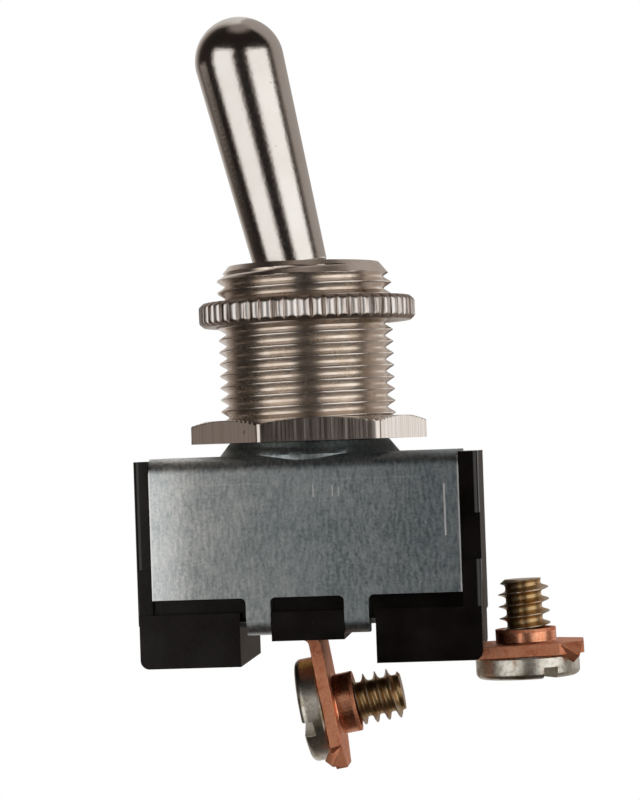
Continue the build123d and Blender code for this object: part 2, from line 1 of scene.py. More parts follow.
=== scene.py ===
"""Panel toggle switch with screw terminals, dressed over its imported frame.

Lengths are written in millimetres and turned to metres where a mesh is made. The origin is
on the bushing's axis, in the plane where the panel seats. +Z runs up the bushing, +X to the
end terminal, and -Y is the face that the photograph shows.
"""

from math import cos, pi, radians, sin, sqrt, tan

import bmesh
import bpy
import numpy as np
from mathutils import Matrix, Vector


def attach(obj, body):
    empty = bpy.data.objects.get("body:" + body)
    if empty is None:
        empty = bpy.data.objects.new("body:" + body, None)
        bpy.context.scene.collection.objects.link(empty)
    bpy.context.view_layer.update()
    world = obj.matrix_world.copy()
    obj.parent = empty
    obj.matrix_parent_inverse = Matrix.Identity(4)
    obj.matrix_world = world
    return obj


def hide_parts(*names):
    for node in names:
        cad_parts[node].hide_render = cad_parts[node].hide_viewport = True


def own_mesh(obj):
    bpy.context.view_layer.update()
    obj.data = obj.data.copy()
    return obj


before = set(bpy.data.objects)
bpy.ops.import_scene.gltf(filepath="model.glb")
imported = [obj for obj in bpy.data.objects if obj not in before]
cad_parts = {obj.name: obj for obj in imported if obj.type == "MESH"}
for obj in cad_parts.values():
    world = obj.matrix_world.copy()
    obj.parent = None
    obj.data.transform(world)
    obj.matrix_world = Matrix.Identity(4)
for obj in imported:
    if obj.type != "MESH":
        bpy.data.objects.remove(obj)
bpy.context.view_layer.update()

MM = 0.001
TURN = 2 * pi

# Sizes that the CAD source also has, in millimetres
THREAD_RADIUS = 5.84
THREAD_PITCH = 0.79375
RIM_Z = 10.33
BOSS_TOP_Z = -1.5
PIVOT_Z = 6.4
LEVER_TILT = radians(12.2)
RING_Z = 6.34
RING_HEIGHT = 1.6
RING_RADIUS = 7.256
RING_TEETH = 52
RING_SHIFT = 0.12
RING_TILT = radians(0.6)
HEX_ACROSS_FLATS = 13.83
HEX_TURN = radians(10.0)
BORE_RADIUS = 5.87
END_RISE = radians(1.6)
CENTRE_LEAN = radians(9.7)
SCREW_RADIUS = 1.69
END_SCREW_LENGTH = 5.0
CENTRE_SCREW_LENGTH = 5.25
HEAD_RADIUS = 3.45
HEAD_HEIGHT = 1.5
HEAD_CORNER = 0.42
SLOT_WIDTH = 1.0
SLOT_DEPTH = 0.75
STRIP = 0.78
COLLAR_RADIUS = 2.02
PLUNGER_BORE = 1.1
SPRING_TOP = 4.2
TAIL_LENGTH = 12.5
END_ROOT = (11.4, 0, -15.47)
CENTRE_ROOT = (0.35, 0, -13.87)

# Finer than the CAD, which cuts its thread as rings and leaves the screws plain
BUSHING_THREAD_DEPTH = 0.53
SCREW_THREAD_DEPTH = 0.5
THREAD_ROOT = 0.16


# Meshes

def skin(grid):
    """Quads over a grid of points (rows, columns): each joins a point to the next both ways."""
    rows, columns = grid.shape[:2]
    first = (np.arange(rows - 1)[:, None] * columns + np.arange(columns - 1)).ravel()
    return np.stack([first, first + 1, first + columns + 1, first + columns], axis=1)


def place(points, origin=(0, 0, 0), axis=(0, 0, 1), across=(1, 0, 0)):
    """Points set at origin: local x runs along across, z along axis, y along their product."""
    up = np.array(axis, float)
    side = np.array(across, float)
    basis = np.stack([side, np.cross(up, side), up])
    return points @ basis + np.array(origin, float)


def piece(name, grid, body, finish, stands_for=(), crease=35, values=None):
    """A closed surface from a grid of points in mm. Its seams and poles are welded, and its faces
    turn outwards, which a positive volume shows: a . (b x c) / 6 summed over its triangles."""
    points = grid.reshape(-1, 3)
    faces = skin(grid)
    a, b, c, d = (points[faces[:, k]] for k in range(4))
    volume = np.einsum("ij,ij->", a, np.cross(b, c)) + np.einsum("ij,ij->", a, np.cross(c, d))
    if volume < 0:
        faces = faces[:, ::-1]
    mesh = bpy.data.meshes.new(name)
    mesh.from_pydata((points * MM).tolist(), [], faces.tolist())
    for key, numbers in (values or {}).items():
        attribute = mesh.attributes.new(key, "FLOAT", "POINT")
        attribute.data.foreach_set("value", numbers.reshape(-1).astype(np.float32))
    work = bmesh.new()
    work.from_mesh(mesh)
    bmesh.ops.remove_doubles(work, verts=work.verts, dist=1e-6)
    bmesh.ops.dissolve_degenerate(work, edges=work.edges, dist=1e-7)
    work.to_mesh(mesh)
    work.free()
    return dress(bpy.data.objects.new(name, mesh), body, finish, stands_for, crease)


def dress(made, body, finish, stands_for=(), crease=35):
    """Smooth shading broken at sharp edges, the finish, and the ride on a body."""
    if made.name not in bpy.context.scene.collection.objects:
        bpy.context.scene.collection.objects.link(made)
    made.data.polygons.foreach_set("use_smooth", np.ones(len(made.data.polygons), bool))
    made.data.set_sharp_from_angle(angle=radians(crease))
    made.data.materials.clear()
    made.data.materials.append(finish)
    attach(made, body)
    if stands_for:
        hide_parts(*stands_for)
    return made


def merged(node, body, finish, rounding=0.0, crease=32):
    """A copy of a CAD solid: its loose triangles are merged into large convex faces, and
    every edge sharper than 38 degrees gets a small rounding, shaded so that the flats stay
    flat."""
    made = bpy.data.objects.new(node + "_piece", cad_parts[node].data.copy())
    work = bmesh.new()
    work.from_mesh(made.data)
    bmesh.ops.remove_doubles(work, verts=work.verts, dist=2e-6)
    bmesh.ops.dissolve_limit(
        work, angle_limit=radians(0.5), verts=work.verts, edges=work.edges
    )
    bmesh.ops.connect_verts_concave(work, faces=work.faces)
    work.to_mesh(made.data)
    work.free()
    dress(made, body, finish, (node,), crease)
    if rounding:
        bevel = made.modifiers.new("edges", "BEVEL")
        bevel.width = rounding * MM
        bevel.segments = 3
        bevel.limit_method = "ANGLE"
        bevel.angle_limit = radians(38)
        bevel.miter_outer = "MITER_ARC"
        bevel.use_clamp_overlap = True
        flat = made.modifiers.new("flat", "WEIGHTED_NORMAL")
        flat.weight = 100
        flat.keep_sharp = True
    return made


def cut(made, cutter):
    """Take the cutter's box away from a piece, and drop the cutter."""
    away = made.modifiers.new("cut", "BOOLEAN")
    away.operation = "DIFFERENCE"
    away.solver = "EXACT"
    away.object = cutter
    graph = bpy.context.evaluated_depsgraph_get()
    mesh = bpy.data.meshes.new_from_object(made.evaluated_get(graph))
    made.modifiers.clear()
    made.data = mesh
    bpy.data.objects.remove(cutter)
    made.data.set_sharp_from_angle(angle=radians(35))


def around(count):
    """Angles from 0 to a full turn, both ends included."""
    return np.linspace(0.0, TURN, count + 1)


def turned(profile, count, reach=None):
    """A profile of (radius, height) carried round z: x = r cos t, y = r sin t. Where reach is
    given, it takes (t, r, z) and returns the radius there."""
    r, z = np.asarray(profile, float).T
    t = around(count)[None, :]
    r, z = np.broadcast_arrays(r[:, None], z[:, None])
    t = np.broadcast_to(t, (r.shape[0], count + 1))
    r = np.broadcast_to(r, t.shape)
    z = np.broadcast_to(z, t.shape)
    if reach is not None:
        r = reach(t, r, z)
    return np.stack([r * np.cos(t), r * np.sin(t), z], axis=-1)


def arc(centre, radius, start, end, count):
    """Points of a circle's arc in the (radius, height) plane, angles in degrees."""
    a = np.radians(np.linspace(start, end, count))
    return np.stack([centre[0] + radius * np.cos(a), centre[1] + radius * np.sin(a)], axis=1)


def line(*points, count=2):
    """Straight runs between points, each divided evenly into count - 1 steps."""
    points = np.asarray(points, float)
    steps = np.linspace(0, 1, count)[:, None]
    runs = [a + (b - a) * steps for a, b in zip(points[:-1], points[1:])]
    return np.concatenate(runs)


def lesser(a, b, softness):
    """The lesser of two lengths, blended over softness where they cross:
    -s log(exp(-a/s) + exp(-b/s))."""
    return -softness * np.logaddexp(-a / softness, -b / softness)


def groove(u, crest, root):
    """Depth of a V thread as a share, by place u in turns: 0 on a narrow flat crest, 1 in the
    root. The flanks are straight, and a hyperbola rounds the root and the crest's two edges."""
    d = np.clip(1 - np.abs(2 * (u - np.floor(u)) - 1) - crest, 0, None)
    deepest, edge = 1 - crest, 0.02
    rise = np.hypot(d, edge) - np.hypot(deepest - d, root)
    low, high = edge - np.hypot(deepest, root), np.hypot(deepest, edge) - root
    return (rise - low) / (high - low)


def valley(u, crest, root):
    """Depth of a rolled thread as a share: sharp crests between broad round valleys, 1 - |v|^2.6
    with v from -1 to 1 between two crests."""
    distance = np.abs(2 * (u - np.floor(u)) - 1)
    return 1 - np.clip((distance - root) / (1 - crest - root), 0, 1) ** 2.6


def thread_rows(radius, depth, low, high, phase, count, top, form=groove):
    """A screw thread as rows that climb with the helix, so that each crest is a row of its own:
    z = row + pitch t / turn, held between low and high, and r = radius - depth form((z -
    pitch t / turn) / pitch + phase). top(z) is the chamfer that cuts it off."""
    rows_a_turn, crest = 20, 0.09
    t = around(count)[None, :]
    turns = int(np.ceil((high - low) / THREAD_PITCH)) + 2
    start = low - 1.5 * THREAD_PITCH
    rows = start + np.arange(turns * rows_a_turn + 1)[:, None] * THREAD_PITCH / rows_a_turn
    climb = THREAD_PITCH * t / TURN
    z = np.clip(rows + climb, low, high)
    cutting = form((z - climb) / THREAD_PITCH + phase, crest, THREAD_ROOT)
    r = np.minimum(radius - depth * cutting, top(z))
    t = np.broadcast_to(t, z.shape)
    return np.stack([r * np.cos(t), r * np.sin(t), z], axis=-1), cutting


# Materials

def linear(code):
    """An sRGB colour written as six hex digits, as linear red, green, blue and alpha."""
    shares = np.array([int(code[k : k + 2], 16) for k in (0, 2, 4)]) / 255
    low = shares <= 0.04045
    return tuple(np.where(low, shares / 12.92, ((shares + 0.055) / 1.055) ** 2.4)) + (1.0,)


def add(tree, kind, sockets=None, stops=None, gives=0, **settings):
    """Add a node with its settings, its input values or links and a ramp's stops, and return
    the output that gives names."""
    made = tree.nodes.new("ShaderNode" + kind)
    for name, value in settings.items():
        setattr(made, name, value)
    for key, value in (sockets or {}).items():
        if isinstance(value, bpy.types.NodeSocket):
            tree.links.new(value, made.inputs[key])
        else:
            made.inputs[key].default_value = value
    if stops:
        elements = made.color_ramp.elements
        while len(elements) < len(stops):
            elements.new(0.5)
        for element, (share, code) in zip(elements, stops):
            element.position = share
            element.color = linear(code)
    return made.outputs[gives] if made.outputs else made


def surface(name, sockets, **constants):
    """A new material with one surface shader. sockets(tree, where) makes its pattern from the
    piece's own coordinates in metres and returns what each shader socket is linked to."""
    made = bpy.data.materials.new(name)
    made.use_nodes = True
    tree = made.node_tree
    shader = tree.nodes["Principled BSDF"]
    for key, value in constants.items():
        shader.inputs[key.replace("_", " ")].default_value = value
    where = add(tree, "TexCoord", gives="Object")
    for key, value in sockets(tree, where).items():
        tree.links.new(value, shader.inputs[key])
    return made


def per_mm(size):
    """The scale that gives a pattern features of this many millimetres."""
    return 1000.0 / size


def mark(tree, where, centre, half, soft):
    """1 in a small box round a place given in mm, falling to 0 over soft mm outside it."""
    offset = add(
        tree,
        "VectorMath",
        {0: where, 1: [c * MM for c in centre]},
        operation="SUBTRACT",
    )
    size = add(tree, "VectorMath", {0: offset}, operation="ABSOLUTE")
    beyond = add(
        tree, "VectorMath", {0: size, 1: [h * MM for h in half]}, operation="SUBTRACT"
    )
    outside = add(
        tree, "VectorMath", {0: beyond, 1: (0, 0, 0)}, operation="MAXIMUM"
    )
    away = add(tree, "VectorMath", {0: outside}, gives="Value", operation="LENGTH")
    return add(
        tree, "MapRange", {"Value": away, "From Max": soft * MM, "To Min": 1.0, "To Max": 0.0}
    )


def nickel_lever(tree, where):
    """Nickel plate polished on a turned brass handle: near-mirror streaks of light whose edges
    break up into fine grain, with a scatter of dark pits."""
    grain = add(tree, "TexNoise", {"Vector": where, "Scale": per_mm(0.18), "Detail": 2.0})
    pits = add(
        tree, "TexNoise", {"Vector": where, "Scale": per_mm(0.3), "Detail": 1.0, "Roughness": 0.4}
    )
    cloud = add(tree, "TexNoise", {"Vector": where, "Scale": per_mm(5.0), "Detail": 3.0})
    plate = add(tree, "ValToRGB", {"Fac": cloud}, [(0.3, "e4e1dd"), (0.7, "d8d3cd")])
    pit_share = add(tree, "MapRange", {"Value": pits, "From Min": 0.76, "From Max": 0.84})
    colour = add(
        tree,
        "Mix",
        {"Factor": pit_share, 6: plate, 7: linear("8a7a6e")},
        gives=2,
        data_type="RGBA",
    )
    rough = add(
        tree,
        "MapRange",
        {"Value": grain, "From Min": 0.3, "From Max": 0.7, "To Min": 0.13, "To Max": 0.2},
    )
    bump = add(tree, "Bump", {"Height": grain, "Distance": 0.007 * MM})
    return {"Base Color": colour, "Roughness": rough, "Normal": bump}


def nickel_thread(tree, where):
    """Nickel plate on a cut brass thread: the warm tint deepens where light bounces between two
    flanks. The turning tool left fine lines along the helix, and one rust speck shows."""
    stretched = add(tree, "Mapping", {"Vector": where, "Scale": (0.25, 0.25, 1.0)})
    lines = add(tree, "TexNoise", {"Vector": stretched, "Scale": per_mm(0.1), "Detail": 2.0})
    cloud = add(tree, "TexNoise", {"Vector": where, "Scale": per_mm(1.2), "Detail": 5.0})
    plate = add(tree, "ValToRGB", {"Fac": cloud}, [(0.35, "f7f0e9"), (0.68, "ebe0d4")])
    speck = mark(tree, where, (4.3, -3.9, 8.35), (0.1, 0.3, 0.08), 0.12)
    colour = add(
        tree, "Mix", {"Factor": speck, 6: plate, 7: linear("8a4a2a")}, gives=2, data_type="RGBA"
    )
    rough = add(
        tree,
        "MapRange",
        {"Value": cloud, "From Min": 0.3, "From Max": 0.7, "To Min": 0.18, "To Max": 0.3},
    )
    bump = add(tree, "Bump", {"Height": lines, "Distance": 0.002 * MM})
    return {"Base Color": colour, "Roughness": rough, "Normal": bump}


def nickel_ring(tree, where):
    """Bright nickel on the coin edge: the knurling tool dragged fine vertical lines down every
    tooth, and grime darkens a few grooves to brown."""
    stretched = add(tree, "Mapping", {"Vector": where, "Scale": (1.0, 1.0, 0.04)})
    lines = add(tree, "TexNoise", {"Vector": stretched, "Scale": per_mm(0.22), "Detail": 3.0})
    plate = add(
        tree,
        "ValToRGB",
        {"Fac": lines},
        [(0.38, "8a7a70"), (0.46, "dcd3cc"), (0.6, "f6f2ee")],
    )
    rough = add(
        tree,
        "MapRange",
        {"Value": lines, "From Min": 0.3, "From Max": 0.7, "To Min": 0.28, "To Max": 0.42},
    )
    bump = add(tree, "Bump", {"Height": lines, "Distance": 0.02 * MM})
    turned_face = add(tree, "Attribute", gives="Fac", attribute_name="face")
    colour = add(
        tree,
        "Mix",
        {"Factor": turned_face, 6: plate, 7: linear("a8988c")},
        gives=2,
        data_type="RGBA",
    )
    return {"Base Color": colour, "Roughness": rough, "Normal": bump}


def nickel_hex(tree, where):
    """Nickel on the hexagon: the die drew vertical lines down its flats, so that they sparkle in
    thin streaks, and a few dark specks sit on the plate."""
    stretched = add(tree, "Mapping", {"Vector": where, "Scale": (1.0, 1.0, 0.02)})
    lines = add(tree, "TexNoise", {"Vector": stretched, "Scale": per_mm(0.2), "Detail": 3.0})
    specks = add(tree, "TexNoise", {"Vector": where, "Scale": per_mm(0.5), "Detail": 1.0})
    plate = add(tree, "ValToRGB", {"Fac": lines}, [(0.3, "c9bdb4"), (0.65, "eee8e2")])
    speck = add(tree, "MapRange", {"Value": specks, "From Min": 0.76, "From Max": 0.8})
    colour = add(
        tree, "Mix", {"Factor": speck, 6: plate, 7: linear("4a3b33")}, gives=2, data_type="RGBA"
    )
    rough = add(
        tree,
        "MapRange",
        {"Value": lines, "From Min": 0.3, "From Max": 0.7, "To Min": 0.14, "To Max": 0.26},
    )
    bump = add(tree, "Bump", {"Height": lines, "Distance": 0.0045 * MM})
    return {"Base Color": colour, "Roughness": rough, "Normal": bump}


def zinc_steel(tree, where):
    """Zinc-plated sheet steel: cold grey in a fine frosted grain with faint vertical rolling
    lines. Painted light makes it whiter at the left and darker towards the right, and at the left a
    bump bows the sheet back a little. A die line runs below the bend, one long bright scratch and
    some short ones run down the face, and painted highlights run down the sheared edges."""
    frost = add(
        tree,
        "TexNoise",
        {"Vector": where, "Scale": per_mm(0.2), "Detail": 3.0, "Roughness": 0.7},
    )
    stretched = add(tree, "Mapping", {"Vector": where, "Scale": (1.0, 1.0, 0.3)})
    rolled = add(tree, "TexNoise", {"Vector": stretched, "Scale": per_mm(0.22), "Detail": 3.0})
    cloud = add(tree, "TexNoise", {"Vector": where, "Scale": per_mm(3.0), "Detail": 4.0})
    mixed = add(tree, "Math", {0: frost, 1: rolled}, operation="ADD")
    faint = add(tree, "Math", {0: cloud, 1: 0.6}, operation="MULTIPLY")
    mottle = add(tree, "Math", {0: mixed, 1: faint}, operation="ADD")
    tone = add(
        tree,
        "ValToRGB",
        {"Fac": add(tree, "MapRange", {"Value": mottle, "From Min": 1.05, "From Max": 1.55})},
        [(0.0, "b9c2c5"), (0.5, "dde3e5"), (1.0, "fafcfc")],
    )
    across = add(tree, "SeparateXYZ", {"Vector": where}, gives="X")
    along = add(
        tree, "MapRange", {"Value": across, "From Min": -11 * MM, "From Max": 11 * MM}
    )
    # Painted light: the sheet's colour is painted whiter at the left and darker towards the right.
    painted_light_across = add(
        tree,
        "ValToRGB",
        {"Fac": along},
        [(0.0, "ffffff"), (0.12, "fffefc"), (0.24, "dcdedd"), (0.5, "c3c8c9"), (1.0, "a6adb1")],
    )
    tone = add(
        tree,
        "Mix",
        {"Factor": 1.0, 6: tone, 7: painted_light_across},
        gives=2,
        data_type="RGBA",
        blend_type="MULTIPLY",
    )
    scratches_and_edge_highlights = (
        ((9.15, -6.4, -6.25), (0.03, 0.4, 1.65), 0.05, 0.9),
        ((0.65, -6.4, -4.75), (0.01, 0.4, 0.4), 0.05, 0.6),
        ((1.9, -6.4, -4.8), (0.01, 0.4, 0.35), 0.05, 0.7),
        ((2.3, -6.4, -4.85), (0.01, 0.4, 0.3), 0.05, 0.5),
        ((-6.2, -6.4, -4.2), (3.4, 0.4, 0.01), 0.06, 0.2),
        ((4.4, -6.4, -4.05), (3.2, 0.4, 0.02), 0.12, 0.1),
        # The last two marks are painted highlights down the sheet's right and left sheared edges.
        ((10.1, -6.4, -8.8), (0.05, 0.5, 6.0), 0.06, 0.9),
        ((-10.1, -6.4, -8.8), (0.05, 0.5, 6.0), 0.06, 0.9),
    )
    for centre, half, soft, strength in scratches_and_edge_highlights:
        line_here = mark(tree, where, centre, half, soft)
        share = add(tree, "Math", {0: line_here, 1: strength}, operation="MULTIPLY")
        tone = add(
            tree, "Mix", {"Factor": share, 6: tone, 7: linear("ffffff")}, gives=2, data_type="RGBA"
        )
    rough = add(
        tree,
        "MapRange",
        {"Value": mixed, "From Min": 0.7, "From Max": 1.3, "To Min": 0.36, "To Max": 0.5},
    )
    edge = add(
        tree, "MapRange", {"Value": across, "From Min": -7.4 * MM, "From Max": -10.1 * MM}
    )
    bow = add(tree, "Math", {0: edge, 1: 2.0}, operation="POWER")
    bowed = add(tree, "Bump", {"Height": bow, "Distance": -0.22 * MM})
    bump = add(tree, "Bump", {"Height": mixed, "Distance": 0.004 * MM, "Normal": bowed})
    return {"Base Color": tone, "Roughness": rough, "Normal": bump}


def black_phenolic(tree, where):
    """Compression-moulded black phenolic: a dark brown-black skin with a slight gloss, faint
    flow clouds, and pale dust caught on it."""
    flow = add(tree, "TexNoise", {"Vector": where, "Scale": per_mm(2.5), "Detail": 4.0})
    fine = add(tree, "TexNoise", {"Vector": where, "Scale": per_mm(0.35), "Detail": 3.0})
    stretched = add(tree, "Mapping", {"Vector": where, "Scale": (1.0, 1.0, 0.4)})
    dust = add(tree, "TexNoise", {"Vector": stretched, "Scale": per_mm(0.2), "Detail": 2.0})
    skin_tone = add(tree, "ValToRGB", {"Fac": flow}, [(0.3, "080605"), (0.7, "110e0c")])
    share = add(
        tree,
        "MapRange",
        {"Value": dust, "From Min": 0.74, "From Max": 0.82, "To Max": 0.5},
    )
    colour = add(
        tree, "Mix", {"Factor": share, 6: skin_tone, 7: linear("6b6058")}, gives=2, data_type="RGBA"
    )
    rough = add(
        tree,
        "MapRange",
        {"Value": flow, "From Min": 0.3, "From Max": 0.7, "To Min": 0.14, "To Max": 0.22},
    )
    bump = add(tree, "Bump", {"Height": fine, "Distance": 0.003 * MM})
    return {"Base Color": colour, "Roughness": rough, "Normal": bump}


def copper(rough):
    """Copper plate: salmon where it was rubbed, deeper red where it has tarnished, with fine
    flecks. Sheared and brushed edges are matt, and a drawn collar keeps a soft gloss."""

    def sockets(tree, where):
        cloud = add(
            tree,
            "TexNoise",
            {"Vector": where, "Scale": per_mm(1.2), "Detail": 5.0, "Roughness": 0.7},
        )
        fine = add(tree, "TexNoise", {"Vector": where, "Scale": per_mm(0.14), "Detail": 3.0})
        tone = add(
            tree,
            "ValToRGB",
            {"Fac": cloud},
            [(0.3, "bb6446"), (0.45, "ef9a72"), (0.58, "f8b089"), (0.7, "cd7454")],
        )
        share = add(
            tree, "MapRange", {"Value": fine, "From Min": 0.45, "From Max": 0.65, "To Max": 0.45}
        )
        colour = add(
            tree, "Mix", {"Factor": share, 6: tone, 7: linear("fcc8a6")}, gives=2, data_type="RGBA"
        )
        spread = add(
            tree,
            "MapRange",
            {
                "Value": cloud,
                "From Min": 0.3,
                "From Max": 0.7,
                "To Min": rough,
                "To Max": rough + 0.12,
            },
        )
        bump = add(tree, "Bump", {"Height": fine, "Distance": 0.006 * MM})
        return {"Base Color": colour, "Roughness": spread, "Normal": bump}

    return sockets


def yellow_screw(tree, where):
    """Yellow-passivated steel screw: silvery worn heads stained amber and olive, and a thread of
    dull gold brown."""
    cloud = add(tree, "TexNoise", {"Vector": where, "Scale": per_mm(1.5), "Detail": 4.0})
    fine = add(
        tree, "TexNoise", {"Vector": where, "Scale": per_mm(0.25), "Detail": 4.0, "Roughness": 0.7}
    )
    deep = add(tree, "Attribute", gives="Fac", attribute_name="depth")
    worn = add(
        tree,
        "ValToRGB",
        {"Fac": cloud},
        [(0.3, "8f7f5c"), (0.44, "dcd8cc"), (0.58, "e6e2d8"), (0.7, "a9794a")],
    )
    stained = add(
        tree,
        "Mix",
        {
            "Factor": add(
                tree,
                "MapRange",
                {"Value": fine, "From Min": 0.5, "From Max": 0.7, "To Max": 0.6},
            ),
            6: worn,
            7: linear("7a6c4c"),
        },
        gives=2,
        data_type="RGBA",
    )
    colour = add(
        tree, "Mix", {"Factor": deep, 6: stained, 7: linear("c6a678")}, gives=2, data_type="RGBA"
    )
    rough = add(
        tree,
        "MapRange",
        {"Value": fine, "From Min": 0.3, "From Max": 0.7, "To Min": 0.28, "To Max": 0.42},
    )
    bump = add(tree, "Bump", {"Height": fine, "Distance": 0.008 * MM})
    return {"Base Color": colour, "Roughness": rough, "Normal": bump}


def clouded(light, dark, rough, size, stretch=(1, 1, 1)):
    """A tone that drifts from light to dark in clouds of size mm and is rougher where dark: what
    a stamped, drawn or moulded piece inside the switch shows."""

    def sockets(tree, where):
        stretched = add(tree, "Mapping", {"Vector": where, "Scale": stretch})
        cloud = add(tree, "TexNoise", {"Vector": stretched, "Scale": per_mm(size), "Detail": 4.0})
        colour = add(tree, "ValToRGB", {"Fac": cloud}, [(0.35, light), (0.65, dark)])
        spread = add(
            tree,
            "MapRange",
            {
                "Value": cloud,
                "From Min": 0.3,
                "From Max": 0.7,
                "To Min": rough,
                "To Max": rough + 0.12,
            },
        )
        return {"Base Color": colour, "Roughness": spread}

    return sockets


lever_finish = surface("polished_nickel", nickel_lever, Metallic=1.0)
thread_finish = surface("nickel_on_thread", nickel_thread, Metallic=1.0)
ring_finish = surface("nickel_ring", nickel_ring, Metallic=1.0)
hex_finish = surface("nickel_hex", nickel_hex, Metallic=1.0)
zinc_finish = surface("zinc_plated_steel", zinc_steel, Metallic=1.0)
phenolic_finish = surface("black_phenolic", black_phenolic, IOR=1.5)
copper_finish = surface("copper_plate", copper(0.5), Metallic=1.0)
collar_finish = surface("drawn_copper", copper(0.22), Metallic=1.0)
screw_finish = surface("yellow_passivated_steel", yellow_screw, Metallic=1.0)
brass_finish = surface("stamped_brass", clouded("c9a45c", "a98544", 0.28, 1.2), Metallic=1.0)
silver_finish = surface("silver_alloy", clouded("dcdad4", "b9b6ae", 0.22, 1.2), Metallic=1.0)
pin_finish = surface("ground_steel", clouded("b8b8b6", "9c9c9a", 0.2, 0.8), Metallic=1.0)
spring_finish = surface("drawn_spring_wire", clouded("9a9a98", "7c7c7a", 0.25, 0.4), Metallic=1.0)
fibre_finish = surface("vulcanised_fibre", clouded("5d4028", "6e4d31", 0.6, 0.3, (1, 0.2, 1)))
nylon_finish = surface("moulded_nylon", clouded("d9d3c0", "cfc8b2", 0.4, 0.8))


# Bushing: one closed skin, threaded outside, with the ball seat and pin slots inside
def bushing_grid():
    """Thread rows, then the profile from the thread's foot down over the swage, up the bore and
    out over the rim. In the bore the radius steps out to the pin slots where |x| is less than
    their half width, below the pivot."""
    around_count = 192
    chamfer_width, chamfer_height = 0.78, 0.95
    spigot_radius, swage_radius, lower_bore_radius = 4.75, 5.2, 4.0
    swage_top, foot = BOSS_TOP_Z - 0.8, BOSS_TOP_Z - 1.4
    seat_radius, throat_height, mouth_radius = 3.5, 2.2, 3.6
    throat_radius = sqrt(seat_radius**2 - throat_height**2)
    throat_angle = np.degrees(np.arcsin(throat_height / seat_radius))
    taper_z, slot_low_z, slot_high_z = PIVOT_Z - 4.5, PIVOT_Z - 1.2, PIVOT_Z + 1.2
    slot_half, slot_reach = 0.85, 4.55

    def chamfer(z):
        return THREAD_RADIUS - chamfer_width * (z - RIM_Z + chamfer_height) / chamfer_height

    def widen(t, r, z):
        beside = np.abs(r * np.cos(t))
        above = np.clip(z - PIVOT_Z, 0, None)
        inside = beside**2 + above**2 < slot_half**2
        return np.where(inside & (r < lower_bore_radius + 0.1) & (z > foot), slot_reach, r)

    rows, _ = thread_rows(
        THREAD_RADIUS, BUSHING_THREAD_DEPTH, BOSS_TOP_Z, RIM_Z, 0.73, around_count, chamfer
    )
    inner = np.concatenate(
        [
            line(
                (spigot_radius, BOSS_TOP_Z),
                (spigot_radius, swage_top),
                (swage_radius, swage_top),
                (swage_radius, foot),
            ),
            line((lower_bore_radius, foot), (seat_radius, taper_z), count=6),
            line((seat_radius, taper_z), (seat_radius, slot_low_z), count=8),
            line((seat_radius, slot_low_z), (seat_radius, slot_high_z), count=13),
            arc((0, PIVOT_Z), seat_radius, 21, throat_angle, 5),
            line((throat_radius, PIVOT_Z + throat_height), (3.5, RIM_Z - 0.1), count=6),
            line((mouth_radius, RIM_Z), (5.05, RIM_Z), count=3),
        ]
    )
    bore = turned(inner, around_count, widen)
    return np.concatenate([rows, rows[-1:], bore[::-1], rows[:1]])


piece(
    "bushing_thread",
    bushing_grid(),
    "switch_body",
    thread_finish,
    ("bushing",),
    crease=50,
)


# Nuts
def nut_profile(outer, low, high, lead, rows):
    """A nut's section as a closed loop: up the bore, with its two lead-in chamfers, and down the
    outside on rows bunched towards both faces."""
    bunched = (1 - np.cos(np.linspace(0, pi, rows))) / 2
    side = np.stack([np.full(rows, outer), high - (high - low) * bunched], axis=1)
    bore = line(
        (BORE_RADIUS + lead, low),
        (BORE_RADIUS, low + lead),
        (BORE_RADIUS, high - lead),
        (BORE_RADIUS + lead, high),
    )
    return np.concatenate([bore, side, bore[:1]])


def ring_edge(t, r, z):
    """Coin edge: rounded teeth, r = R - depth (1 - |sin(teeth t / 2)|^0.55), each a little
    different in depth, cut off by a chamfer at both faces."""
    teeth = RING_TEETH
    tooth = np.floor(t * teeth / TURN)
    uneven = 0.04 * np.sin(tooth * 2.4) + 0.03 * np.sin(tooth * 5.1)
    depth = 0.3 + uneven
    share = 1 - np.abs(np.sin(t * teeth / 2)) ** 0.55
    knurl = RING_RADIUS - depth * share
    from_face = RING_HEIGHT / 2 - np.abs(z)
    cone = RING_RADIUS - 0.3 + 1.1 * from_face
    return np.where(r > BORE_RADIUS + 0.5, lesser(knurl, cone, 0.015), r)


half = RING_HEIGHT / 2
level_ring = turned(nut_profile(RING_RADIUS, -half, half, 0.3, 18), RING_TEETH * 16, ring_edge)
ring_face = np.clip((np.abs(level_ring[..., 2]) - half + 0.3) / 0.05, 0, 1)
ring = place(
    level_ring,
    (RING_SHIFT, 0, RING_Z + half),
    (-sin(RING_TILT), 0, cos(RING_TILT)),
    (cos(RING_TILT), 0, sin(RING_TILT)),
)
piece(
    "ring_nut_knurled",
    ring,
    "ring_nut",
    ring_finish,
    ("ring_nut",),
    crease=40,
    values={"face": ring_face},
)


def hex_edge(t, r, z):
    """Six flats meeting at slightly round corners: apothem / r is the flats' cosines summed at
    their 90th power, and its 90th root. The upper face is chamfered at 17 degrees."""
    apothem, sharpness = HEX_ACROSS_FLATS / 2, 90
    normals = HEX_TURN + np.radians(30) + np.arange(6) * pi / 3
    facing = np.clip(np.cos(t[..., None] - normals), 1e-6, None)
    flats = apothem / (facing**sharpness).sum(-1) ** (1 / sharpness)
    cone = apothem + 0.02 - z / tan(radians(17))
    return np.where(r > BORE_RADIUS + 0.5, lesser(flats, cone, 0.02), r)


hexagon = turned(nut_profile(8.0, BOSS_TOP_Z, 0.0, 0.3, 26), 360, hex_edge)
piece("hex_nut_plated", hexagon, "hex_nut", hex_finish, ("hex_nut",), crease=30)


